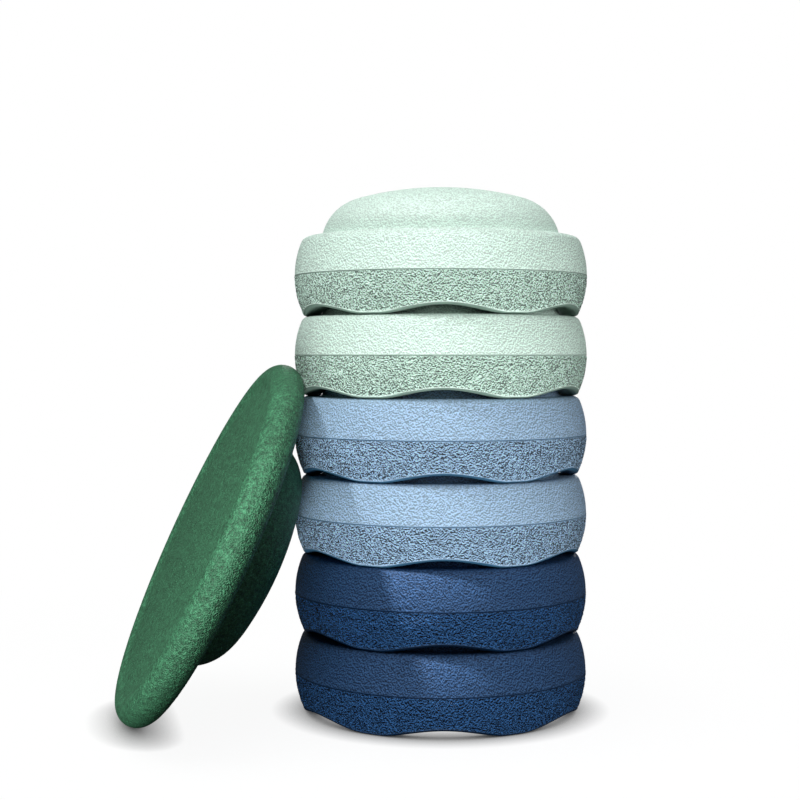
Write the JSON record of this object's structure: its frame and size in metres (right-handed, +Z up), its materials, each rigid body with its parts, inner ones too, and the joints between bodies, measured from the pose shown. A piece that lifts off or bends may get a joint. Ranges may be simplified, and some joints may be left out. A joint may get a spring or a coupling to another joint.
{
  "type": "balance stepping stone set",
  "caption": "Stepping stones with domed tops and wavy feet, nested into a tower, and a round domed balance board that leans on it.",
  "frame": {"origin": "on the floor, under the middle of the set's outline", "axes": "+Z up along the tower, -Y towards the pictured side, the board leans on the tower's -X side"},
  "size_m": [0.4442, 0.3614, 0.4911],
  "materials": {
    "deep_blue_foam": "matte",
    "light_blue_foam": "matte",
    "mint_foam": "matte",
    "green_foam": "matte"
  },
  "bodies": {
    "stone_1": {"stone_1": "deep_blue_foam"},
    "stone_2": {"stone_2": "deep_blue_foam"},
    "stone_3": {"stone_3": "light_blue_foam"},
    "stone_4": {"stone_4": "light_blue_foam"},
    "stone_5": {"stone_5": "mint_foam"},
    "stone_6": {"stone_6": "mint_foam"},
    "balance_board": {"balance_board": "green_foam"}
  },
  "joints": [
    {"name": "lift_stone_2", "type": "slide", "parent": "stone_1", "child": "stone_2", "axis": [0.1357, 0.0308, 0.9903], "range_m": [0, 0.08]},
    {"name": "lift_stone_3", "type": "slide", "parent": "stone_2", "child": "stone_3", "axis": [0.1357, 0.0308, 0.9903], "range_m": [0, 0.08]},
    {"name": "lift_stone_4", "type": "slide", "parent": "stone_3", "child": "stone_4", "axis": [0.1357, 0.0308, 0.9903], "range_m": [0, 0.08]},
    {"name": "lift_stone_5", "type": "slide", "parent": "stone_4", "child": "stone_5", "axis": [0, 0, 1], "range_m": [0, 0.08]},
    {"name": "lift_stone_6", "type": "slide", "parent": "stone_5", "child": "stone_6", "axis": [0, 0, 1], "range_m": [0, 0.08]},
    {"name": "tip_board", "type": "hinge", "parent": "stone_1", "child": "balance_board", "pos_m": [-0.19708, -0.02104, 0.016], "axis": [0.2215, -0.9751, 0], "range_deg": [0, 115.1]}
  ]
}
